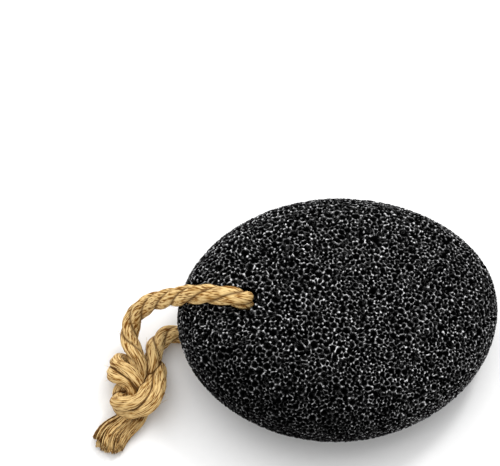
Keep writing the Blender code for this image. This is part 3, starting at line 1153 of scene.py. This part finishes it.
# --- the rope ------------------------------------------------------------------------------------
def rings_round(line: np.ndarray, across: np.ndarray, other: np.ndarray,
                reach: np.ndarray) -> np.ndarray:
    """Draw a ring round each point of a line, or of many lines at once.

    A ring's point is the line's point plus reach times (cos, sin) of its angle along two axes.

    Args:
        line: Points of the line.
        across: The first cross axis at each point.
        other: The second cross axis at each point.
        reach: Radius at each point for each side of the ring.

    Returns:
        A ring of points for each point of the line.
    """
    angle = ring_angles(reach.shape[-1])
    return (line[..., None, :] + (reach * np.cos(angle))[..., None] * across[..., None, :]
            + (reach * np.sin(angle))[..., None] * other[..., None, :])


def carried_rings(line: np.ndarray, reach: np.ndarray) -> tuple[np.ndarray, np.ndarray]:
    """Carry a ring along a line without letting it turn about the line.

    Each frame is the last one turned by the least rotation that brings its tangent along.

    Args:
        line: Points of the line.
        reach: Radius at each point for each side of the ring.

    Returns:
        Ring points, and for each point of the line its two cross axes.
    """
    tangents = unit(np.gradient(line, axis=0))
    across = np.zeros_like(line)
    start = np.cross(tangents[0], (0.0, 0.0, 1.0))
    if np.linalg.norm(start) < UPRIGHT:
        start = np.cross(tangents[0], (1.0, 0.0, 0.0))
    across[0] = unit(start)
    for k in range(1, len(line)):
        across[k] = unit(across[k - 1] - tangents[k] * (across[k - 1] @ tangents[k]))
    other = np.cross(tangents, across)
    return rings_round(line, across, other, reach), np.stack([across, other], axis=1)


def closed_tube(rings: np.ndarray, line: np.ndarray) -> tuple[np.ndarray, np.ndarray]:
    """Close rings along a line into a tube, with a fan of triangles at each end.

    Args:
        rings: Ring points, one row of points for each point of the line.
        line: Points of the line, whose first and last are the middles of the end fans.

    Returns:
        Positions and triangles.
    """
    rows, sides = rings.shape[:2]
    places = np.concatenate([rings.reshape(-1, 3), line[:1], line[-1:]])
    side = np.arange(sides)
    after = (side + 1) % sides
    first = np.full(sides, rows * sides)
    last_row = (rows - 1) * sides
    start_cap = np.stack([first, after, side], axis=1)
    end_cap = np.stack([first + 1, last_row + side, last_row + after], axis=1)
    return places, np.concatenate([grid_triangles(rows, sides), start_cap, end_cap])


def rods(lines: np.ndarray, radii: np.ndarray, sides: int) -> tuple[np.ndarray, np.ndarray]:
    """Make many thin closed rods at once.

    Args:
        lines: Middle lines, one row of points for each rod.
        radii: Radius at each of those points.
        sides: Points in each ring.

    Returns:
        Positions and triangles.
    """
    count, rows = lines.shape[:2]
    tangents = unit(np.gradient(lines, axis=1))
    across = unit(np.cross(tangents, np.array(ROD_REFERENCE)))
    reach = np.repeat(radii[..., None], sides, axis=-1)
    rings = rings_round(lines, across, np.cross(tangents, across), reach)
    side = np.arange(sides)
    fan = np.stack([np.zeros(sides - 2, int), side[1:-1], side[2:]], axis=1)
    one = np.concatenate([grid_triangles(rows, sides), fan[:, ::-1], fan + (rows - 1) * sides])
    every = one[None, :, :] + (np.arange(count) * rows * sides)[:, None, None]
    return rings.reshape(-1, 3), every.reshape(-1, 3)


def smooth_line(route: list[tuple], step: float) -> np.ndarray:
    """Draw a natural cubic spline through route points.

    The spline's second derivatives solve the usual tridiagonal equations over the distances
    between route points, and its fine points are then spaced evenly by arc length.

    Args:
        route: The route points in millimetres.
        step: Distance between the points of the result.

    Returns:
        Points of the line in metres.
    """
    knots = np.array(route) * MM
    spans = np.linalg.norm(np.diff(knots, axis=0), axis=1)
    at = np.concatenate([[0.0], np.cumsum(spans)])
    count = len(knots)
    system = np.eye(count)
    right = np.zeros((count, 3))
    inner = np.arange(1, count - 1)
    system[inner, inner - 1] = spans[:-1]
    system[inner, inner] = 2.0 * (spans[:-1] + spans[1:])
    system[inner, inner + 1] = spans[1:]
    right[1:-1] = 6.0 * np.diff(np.diff(knots, axis=0) / spans[:, None], axis=0)
    bend = np.linalg.solve(system, right)
    fine = np.linspace(0.0, at[-1], SPLINE_FINENESS * count)
    span = np.clip(np.searchsorted(at, fine, side="right") - 1, 0, count - 2)
    width = spans[span][:, None]
    before = (at[span + 1] - fine)[:, None] / width
    after = 1.0 - before
    curve = before * knots[span] + after * knots[span + 1]
    sway = (before ** 3 - before) * bend[span] + (after ** 3 - after) * bend[span + 1]
    curve += sway * width ** 2 / 6.0
    length = along(curve)
    places = np.linspace(0.0, length[-1], round(length[-1] / step) + 1)
    return np.stack([np.interp(places, length, curve[:, axis]) for axis in range(3)], axis=1)


@dataclass(frozen=True)
class RopeRoute:
    """The rope's middle line from the upper tail's tip to the lower tail's tip."""

    step: float = 0.3 * MM

    def line(self) -> np.ndarray:
        """Return points every step along the whole rope."""
        upper = (UPPER_LEG + UPPER_KNOT + UPPER_TAIL)[::-1]
        return smooth_line(upper + LOWER_LEG + LOWER_KNOT + LOWER_TAIL, self.step)

    def index(self, line: np.ndarray, point: tuple) -> int:
        """Return the number of the line's point that is nearest to a route point."""
        return int(np.linalg.norm(line - np.array(point) * MM, axis=1).argmin())

    def stretch(self, first: tuple, last: tuple) -> np.ndarray:
        """Return the line between the places nearest to two route points."""
        line = self.line()
        return line[self.index(line, first):self.index(line, last) + 1]


@dataclass(frozen=True)
class TwistedRope:
    """Three strands laid together to the left, as two tubes that meet inside the drilled hole."""

    route: RopeRoute = field(default_factory=RopeRoute)
    seed: int = 5

    # radii, and where they pass into each other
    radius: float = 2.95 * MM
    knot_radius: float = 2.25 * MM
    tail_radius: float = 1.2 * MM
    ease: float = 6.0 * MM
    leg_reach: float = 2.5 * MM
    taper_before: float = 3.0 * MM
    taper_after: float = 2.0 * MM
    tail_kept: float = 0.30
    floor_gap: float = 0.02 * MM

    # the three strands and the fine ridges on them
    lay: float = 22.5 * MM
    start_turn: float = math.radians(60.0)
    strand: float = 0.62
    knot_strand: float = 0.74
    sides: int = 144
    ridges: tuple = (24, 64)
    ridge_lengths: tuple = (8.0 * MM, 4.0 * MM)
    ridge_height: float = 0.036

    # the painted shade of the dark seams where one turn of the knot presses on another
    contact_reach: float = 0.70 * MM
    contact_skip: float = 9.0 * MM
    contact_step: int = 2

    # fibres that stand off the surface
    loose_fibres: int = 90
    loose_rows: int = 7
    loose_lengths: tuple = (1.5 * MM, 4.2 * MM)
    loose_lift: float = 0.34
    lift_range: tuple = (0.4, 1.0)
    drift_range: tuple = (-0.4, 0.4)
    loose_root: float = 0.88
    loose_radius: float = 0.055 * MM
    loose_tip: float = 0.5
    loose_sides: int = 4
    loose_shade: float = 0.5

    def marks(self, line: np.ndarray) -> dict[str, int]:
        """Find where the tails, the knots and the middle of the hole are on the line.

        Args:
            line: The rope's middle line.

        Returns:
            The number of a point of the line for each place.
        """
        middle = tuple(0.5 * (a + b) for a, b in zip(UPPER_LEG[0], LOWER_LEG[0]))
        find = self.route.index
        return {"tail_a": find(line, UPPER_KNOT[-1]), "knot_a": find(line, UPPER_KNOT[0]),
                "middle": find(line, middle), "knot_b": find(line, LOWER_KNOT[0]),
                "tail_b": find(line, LOWER_KNOT[-1])}

    def leg_share(self, line: np.ndarray) -> np.ndarray:
        """Tell the legs from the knots.

        Args:
            line: The rope's middle line.

        Returns:
            1 between the knots and 0 in them and in the tails, with an eased step between.
        """
        at = along(line)
        mark = self.marks(line)
        inside = np.minimum(at - at[mark["knot_a"]], at[mark["knot_b"]] - at) + self.leg_reach
        return eased(np.clip(inside / self.ease + 0.5, 0.0, 1.0))

    def radii(self, line: np.ndarray) -> np.ndarray:
        """Size the rope: slimmer in the knot, tapering inside the tails.

        Args:
            line: The rope's middle line.

        Returns:
            The radius at each point.
        """
        at = along(line)
        mark = self.marks(line)
        radii = self.knot_radius + (self.radius - self.knot_radius) * self.leg_share(line)
        inside = np.minimum(at - at[mark["tail_a"]], at[mark["tail_b"]] - at) + self.taper_after
        left = np.clip(inside / (self.taper_before + self.taper_after), 0.0, 1.0)
        return self.tail_radius + (radii - self.tail_radius) * eased(left)

    def lobes(self, line: np.ndarray, angle: np.ndarray) -> tuple[np.ndarray, np.ndarray]:
        """Draw the outline of three pressed strands.

        The strands' circles of radius a lie b from the middle, with a + b = 1, and turn to the left
        with distance. At the angle t from the nearest strand the outline is at
        b cos t + sqrt(a^2 - b^2 sin^2 t).

        Args:
            line: The rope's middle line.
            angle: Angles round it.

        Returns:
            The outline as a share of the radius, and how deep between two strands each point is, which
            the finish turns into painted shade.
        """
        turned = angle[None, :] + math.tau * along(line)[:, None] / self.lay + self.start_turn
        third = math.tau / 3.0
        t = np.mod(turned + third / 2.0, third) - third / 2.0
        a = self.knot_strand + (self.strand - self.knot_strand) * self.leg_share(line)[:, None]
        b = 1.0 - a
        outline = b * np.cos(t) + np.sqrt(np.maximum(a ** 2 - (b * np.sin(t)) ** 2, 0.0))
        depth = 1.0 - outline
        return outline, depth / depth.max()

    def painted_contact_shade(self, line: np.ndarray, radii: np.ndarray, rings: np.ndarray) -> np.ndarray:
        """Return how close each surface point in the knots is to another turn of the rope, which the
        finish paints as shade in the seams.

        The gap from the point v to another turn is the least |v - c| - r over the middle points c
        and radii r further along the line than the skip, and the value falls smoothly from 1 at no
        gap to 0 at the reach.

        Args:
            line: The rope's middle line.
            radii: Its radius at each point.
            rings: The surface, a ring of points for each point of the line.

        Returns:
            Values between 0 and 1, 0 for all points outside the knots.
        """
        at = along(line)
        value = np.zeros(rings.shape[:2])
        knot = np.flatnonzero(self.leg_share(line) < 1.0)
        turns = knot[::self.contact_step]
        points = rings[knot].reshape(-1, 3)
        square = (points ** 2).sum(axis=1)[:, None] + (line[turns] ** 2).sum(axis=1)[None, :]
        apart = np.sqrt(np.maximum(square - 2.0 * points @ line[turns].T, 0.0)) - radii[turns]
        near = np.abs(at[knot][:, None] - at[turns][None, :]) < self.contact_skip
        apart = np.where(np.repeat(near, rings.shape[1], axis=0), self.contact_reach, apart)
        share = np.clip(1.0 - apart.min(axis=1) / self.contact_reach, 0.0, 1.0)
        value[knot] = eased(share).reshape(len(knot), -1)
        return value

    def ridge_relief(self, at: np.ndarray, angle: np.ndarray, ridges: int, length: float,
                     random: np.random.Generator) -> np.ndarray:
        """Return fine ridges along the rope: a random grid, long along it and narrow across it.

        Values between grid points are mixed with smooth shares in both directions, and the grid
        closes on itself round the rope.

        Args:
            at: Distances along the rope.
            angle: Angles round it.
            ridges: How many grid columns go round the rope.
            length: Distance between grid rows.
            random: The random numbers to use.

        Returns:
            Heights between -1 and 1 for each distance and angle.
        """
        grid = random.uniform(-1.0, 1.0, (int(at[-1] / length) + 3, ridges))
        r = at / length
        c = angle / math.tau * ridges
        r0, c0 = np.floor(r).astype(int), np.floor(c).astype(int)
        fr, fc = eased(r - r0)[:, None], eased(c - c0)[None, :]
        c0, c1 = c0 % ridges, (c0 + 1) % ridges
        low = grid[r0][:, c0] * (1.0 - fc) + grid[r0][:, c1] * fc
        high = grid[r0 + 1][:, c0] * (1.0 - fc) + grid[r0 + 1][:, c1] * fc
        return low * (1.0 - fr) + high * fr

    def fuzz(self, line: np.ndarray, radii: np.ndarray, frames: np.ndarray,
             random: np.random.Generator) -> np.ndarray:
        """Return the middle lines of loose fibres that leave the rope's surface.

        A fibre runs along the rope, one way or the other, and rises from the surface with the
        square of its distance while it drifts a little to one side.

        Args:
            line: The rope's middle line.
            radii: Its radius at each point.
            frames: Its two cross axes at each point.
            random: The random numbers to use.

        Returns:
            One row of points for each fibre.
        """
        count = self.loose_fibres
        where = random.integers(self.loose_rows, len(line) - self.loose_rows, count)
        turn = random.uniform(0.0, math.tau, count)[:, None]
        first, second = frames[where, 0], frames[where, 1]
        out = first * np.cos(turn) + second * np.sin(turn)
        aside = second * np.cos(turn) - first * np.sin(turn)
        way = unit(np.gradient(line, axis=0))[where] * random.choice([-1.0, 1.0], count)[:, None]
        length = random.uniform(*self.loose_lengths, count)[:, None]
        share = np.linspace(0.0, 1.0, self.loose_rows)
        lift = length * self.loose_lift * random.uniform(*self.lift_range, (count, 1)) * share ** 2
        drift = length * random.uniform(*self.drift_range, (count, 1)) * share ** 2
        base = line[where] + out * (self.loose_root * radii[where])[:, None]
        lines = (base[:, None, :] + way[:, None, :] * (length * share)[..., None]
                 + out[:, None, :] * lift[..., None] + aside[:, None, :] * drift[..., None])
        lines[..., 2] = np.maximum(lines[..., 2], 2.0 * self.loose_radius)
        return lines

    def build(self, material: bpy.types.Material) -> list[tuple[bpy.types.Object, np.ndarray]]:
        """Make the two tubes, each with its loose fibres.

        Args:
            material: The rope's finish.

        Returns:
            Each tube with its middle line, from the hole to its tail.
        """
        line = self.route.line()
        at = along(line)
        angle = ring_angles(self.sides)
        outline, groove_shade_and_tone = self.lobes(line, angle)
        random = np.random.default_rng(self.seed)
        relief = sum(self.ridge_relief(at, angle, count, length, random)
                     for count, length in zip(self.ridges, self.ridge_lengths))
        radii = self.radii(line)
        rings, frames = carried_rings(line, radii[:, None] * (outline + self.ridge_height * relief))
        rings[:, :, 2] = np.maximum(rings[:, :, 2], self.floor_gap)
        # painted shade: darkest deep between the strands and where turns of the knot touch
        groove_shade_and_tone = np.maximum(groove_shade_and_tone, self.painted_contact_shade(line, radii, rings))
        flat = (self.radius * np.cos(angle), self.radius * np.sin(angle), at[:, None])
        straight = np.stack(np.broadcast_arrays(*flat), axis=-1)
        mark = self.marks(line)
        last_b = len(line) - 1
        trim_a = round(mark["tail_a"] * (1.0 - self.tail_kept))
        trim_b = last_b - round((last_b - mark["tail_b"]) * (1.0 - self.tail_kept))
        halves = (("rope_upper", trim_a, mark["middle"]), ("rope_lower", mark["middle"], trim_b))
        tubes = []
        for name, first, last in halves:
            part = slice(first, last + 1)
            body, faces = closed_tube(rings[part], line[part])
            loose = self.fuzz(line[part], radii[part], frames[part], random)
            taper = np.linspace(1.0, self.loose_tip, self.loose_rows)
            thin = np.full(loose.shape[:2], self.loose_radius) * taper
            points, more = rods(loose, thin, self.loose_sides)
            shade = random.random(len(loose)).repeat(len(points) // len(loose))
            ends = line[[first, last]]
            mesh = mesh_from_arrays(name, np.concatenate([body, points]),
                                    np.concatenate([faces, more + len(body)]))
            store(mesh, "straight", np.concatenate([straight[part].reshape(-1, 3), ends, points]))
            store(mesh, "groove_shade_and_tone", np.concatenate([groove_shade_and_tone[part].ravel(), np.ones(len(ends)),
                                                  self.loose_shade * shade]))
            way = line[part][::-1] if name == "rope_upper" else line[part]
            tube = put_in_scene(name, mesh, material)
            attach(tube, "root")
            tubes.append((tube, way))
        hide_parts("rope_loop", "rope_knot")
        return tubes


@dataclass(frozen=True)
class FrayedEnd:
    """One end of the rope, combed out into locks of loose fibres."""

    name: str
    node: str
    comb: list
    base_width: float
    tip_width: float
    thickness: float
    opening: float
    slant: float
    fibres: int
    locks: int
    seed: int

    # the bundle's form
    lock_pull: float = 0.30
    raggedness: float = 0.06
    base_thickness: float = 3.4 * MM
    comb_step: float = 0.1 * MM

    # one fibre
    rows: int = 12
    sides: int = 4
    fibre_radius: float = 0.16 * MM
    radius_range: tuple = (0.6, 1.5)
    tip_taper: float = 0.5
    clearance: float = 1.5
    sway: float = 0.14 * MM
    sway_turns: tuple = (3.0, 9.0)
    sway_up: float = 0.6

    # how fibres and locks differ in shade
    dark_share: float = 0.42
    dark_shade: float = 0.70
    pale_shade: float = 0.15
    dark_spread: float = 0.30
    lock_spread: float = 0.50
    streak_spread: float = 3.0

    @staticmethod
    def in_disc(count: int, random: np.random.Generator) -> np.ndarray:
        """Spread points over a disc of radius one, at radius sqrt(share) so that none crowd.

        Args:
            count: How many points.
            random: The random numbers to use.

        Returns:
            The points.
        """
        turn = random.uniform(0.0, math.tau, count)
        out = np.sqrt(random.random(count))
        return np.stack([out * np.cos(turn), out * np.sin(turn)], axis=1)

    def section(self, random: np.random.Generator) -> tuple[np.ndarray, np.ndarray, np.ndarray]:
        """Place the fibres in the tail's round section and share them out among the locks.

        Args:
            random: The random numbers to use.

        Returns:
            Each fibre's place across the tail and up, its lock's middle, and its lock's number.
        """
        spots = self.in_disc(self.fibres, random)
        middles = self.in_disc(self.locks, random)
        lock = np.linalg.norm(spots[:, None, :] - middles[None, :, :], axis=2).argmin(axis=1)
        return spots, middles[lock], lock

    def build(self, material: bpy.types.Material) -> bpy.types.Object:
        """Make the bundle.

        A fibre starts at its own place in the section. On its way the section widens, and the fibre
        is drawn towards the middle of its lock. Small waves bend it, and each fibre has its own
        length, shorter by the slant at the outer side of the bend.

        Args:
            material: The finish.

        Returns:
            The bundle's object.
        """
        random = np.random.default_rng(self.seed)
        spots, middles, lock = self.section(random)
        share = np.linspace(0.0, 1.0, self.rows)
        length = 1.0 - self.raggedness * random.random(self.fibres) ** 2
        length -= self.raggedness * random.random(self.locks)[lock]
        length -= self.slant * np.clip(0.5 + 0.5 * middles[:, 0], 0.0, 1.0) ** 2
        reach = share[None, :] * length[:, None]
        line = smooth_line(self.comb, self.comb_step)
        at = np.linspace(0.0, 1.0, len(line))
        way = unit(np.gradient(line, axis=0))
        middle = np.stack([np.interp(reach, at, line[:, k]) for k in range(3)], axis=-1)
        flow = np.stack([np.interp(reach, at, way[:, k]) for k in range(3)], axis=-1)
        across = unit(np.cross(flow, np.array([0.0, 0.0, 1.0])))
        open_out = reach ** self.opening
        half_wide = 0.5 * (self.base_width + (self.tip_width - self.base_width) * open_out)
        half_tall = 0.5 * (self.base_thickness + (self.thickness - self.base_thickness) * reach)
        pull = self.lock_pull * reach[..., None]
        spot = spots[:, None, :] * (1.0 - pull) + middles[:, None, :] * pull
        phase = random.uniform(0.0, math.tau, (self.fibres, 1))
        turns = random.uniform(*self.sway_turns, (self.fibres, 1))
        wave = self.sway * reach * np.sin(reach * turns + phase)
        places = middle + across * (half_wide * spot[..., 0] + wave)[..., None]
        places[..., 2] += half_tall * spot[..., 1] + self.sway_up * wave
        places[..., 2] = np.maximum(places[..., 2], self.clearance * self.fibre_radius)
        thick = self.fibre_radius * random.uniform(*self.radius_range, (self.fibres, 1))
        thick = thick * (1.0 - self.tip_taper * share ** 3)
        points, triangles = rods(places, thick, self.sides)
        mesh = mesh_from_arrays(self.name, points, triangles)
        root = np.pad(spots, ((0, 0), (0, 1))) * self.streak_spread * self.base_thickness
        straight = np.repeat(root[:, None, :], self.rows, axis=1)
        straight[..., 2] += reach * along(line)[-1]
        straight = np.repeat(straight[:, :, None, :], self.sides, axis=2)
        store(mesh, "straight", straight.reshape(-1, 3))
        deep = random.random(self.fibres) < self.dark_share
        dark = np.where(deep, self.dark_shade, self.pale_shade)
        dark += self.dark_spread * random.random(self.fibres)
        dark += self.lock_spread * (random.random(self.locks)[lock] - 0.5)
        store(mesh, "groove_shade_and_tone", np.repeat(np.clip(dark, 0.0, 1.0), self.rows * self.sides))
        bundle = put_in_scene(self.name, mesh, material)
        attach(bundle, "root")
        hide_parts(self.node)
        return bundle


# --- studio --------------------------------------------------------------------------------------
@dataclass(frozen=True)
class Studio:
    """Pale floor, soft lights and the camera."""

    azimuth: float = math.radians(-16.0)
    elevation: float = math.radians(64.0)
    roll: float = math.radians(-6.77)
    distance: float = 0.650
    target: tuple = (-0.0010, 0.00205, 0.015)
    target_pixel: tuple = (334.03, 315.84)
    frame_size: tuple = (500, 466)
    focal_pixels: float = 2136.0
    sensor: float = 36.0
    nearest: float = 0.01
    floor_size: float = 6.0
    sky_strength: float = 0.90

    # place, side and power of each light
    key: tuple = ((-0.05, 0.30, 0.85), 1.20, 6.5)
    spark: tuple = ((0.34, 0.34, 0.70), 0.14, 2.0)

    def camera(self) -> bpy.types.Object:
        """Place the camera so that the target falls on its own pixel, without any shift.

        Returns:
            The camera.
        """
        ca, sa = math.cos(self.azimuth), math.sin(self.azimuth)
        ce, se = math.cos(self.elevation), math.sin(self.elevation)
        forward = Vector((-sa * ce, ca * ce, -se))
        right = Vector((ca, sa, 0.0))
        up = right.cross(forward)
        c, s = math.cos(self.roll), math.sin(self.roll)
        turned_right = right * c - up * s
        turned_up = right * s + up * c
        place = Vector(self.target) - forward * self.distance
        aside = (self.frame_size[0] / 2.0 - self.target_pixel[0]) / self.focal_pixels
        above = (self.target_pixel[1] - self.frame_size[1] / 2.0) / self.focal_pixels
        look = (forward + turned_right * aside + turned_up * above).normalized()
        side = look.cross(turned_up).normalized()
        top = side.cross(look)
        data = bpy.data.cameras.new("camera")
        data.sensor_width = self.sensor
        data.lens = self.focal_pixels / self.frame_size[0] * self.sensor
        data.clip_start = self.nearest
        camera = bpy.data.objects.new("camera", data)
        bpy.context.scene.collection.objects.link(camera)
        turn = Matrix((side, top, -look)).transposed()
        camera.matrix_world = Matrix.Translation(place) @ turn.to_4x4()
        bpy.context.scene.camera = camera
        return camera

    def softbox(self, name: str, place: tuple, size: float, power: float) -> None:
        """Hang one square light that faces the stone.

        Args:
            name: Name of the light.
            place: Where it hangs.
            size: Its side.
            power: Its power in watts.
        """
        data = bpy.data.lights.new(name, "AREA")
        data.shape = "SQUARE"
        data.size = size
        data.energy = power
        lamp = bpy.data.objects.new(name, data)
        bpy.context.scene.collection.objects.link(lamp)
        lamp.location = place
        toward = Vector(self.target) - Vector(place)
        lamp.rotation_euler = toward.to_track_quat("-Z", "Y").to_euler()

    def floor(self, material: bpy.types.Material) -> bpy.types.Object:
        """Lay the floor just under the object.

        Args:
            material: The floor's finish.

        Returns:
            The floor's object.
        """
        half = self.floor_size / 2.0
        corners = [[-half, -half, 0.0], [half, -half, 0.0], [half, half, 0.0], [-half, half, 0.0]]
        mesh = mesh_from_arrays("floor", np.array(corners), np.array([[0, 1, 2], [0, 2, 3]]))
        floor = put_in_scene("floor", mesh, material)
        return floor

    def light(self) -> None:
        """Hang the lights and set the pale surroundings."""
        scene = bpy.context.scene
        scene.view_settings.view_transform = "Standard"
        world = bpy.data.worlds.new("pale_room")
        world.use_nodes = True
        sky = world.node_tree.nodes["Background"]
        sky.inputs["Color"].default_value = (1.0, 1.0, 1.0, 1.0)
        sky.inputs["Strength"].default_value = self.sky_strength
        scene.world = world
        self.softbox("key", *self.key)
        self.softbox("spark", *self.spark)


def main() -> None:
    """Build the studio, the rope and the stone, and report each piece."""
    logging.basicConfig(level=logging.INFO, format="%(message)s")
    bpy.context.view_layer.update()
    studio = Studio()
    studio.camera()
    studio.light()
    studio.floor(FloorFinish().material())
    lava = LavaFinish().material(fine_grain_group())
    jute = JuteFinish().material(fibre_group())

    rope = TwistedRope()
    tubes = rope.build(jute)
    plain = FrayedEnd(
        "tail_plain", "rope_tail_a", PLAIN_COMB, base_width=4.2 * MM, tip_width=2.0 * MM,
        thickness=3.0 * MM, opening=1.0, slant=0.0, fibres=320, locks=9, seed=3).build(jute)
    fanned = FrayedEnd(
        "tail_fan", "rope_tail_b", FAN_COMB, base_width=2.6 * MM, tip_width=9.4 * MM,
        thickness=4.4 * MM, opening=0.75, slant=0.30, fibres=480, locks=16, seed=4).build(jute)
    stone = PumiceStone().build(rope.route, lava)
    for piece in (tubes[0][0], tubes[1][0], plain, fanned, stone):
        LOG.info("%s: %d triangles", piece.name, len(piece.data.polygons))


if __name__ == "__main__":
    main()
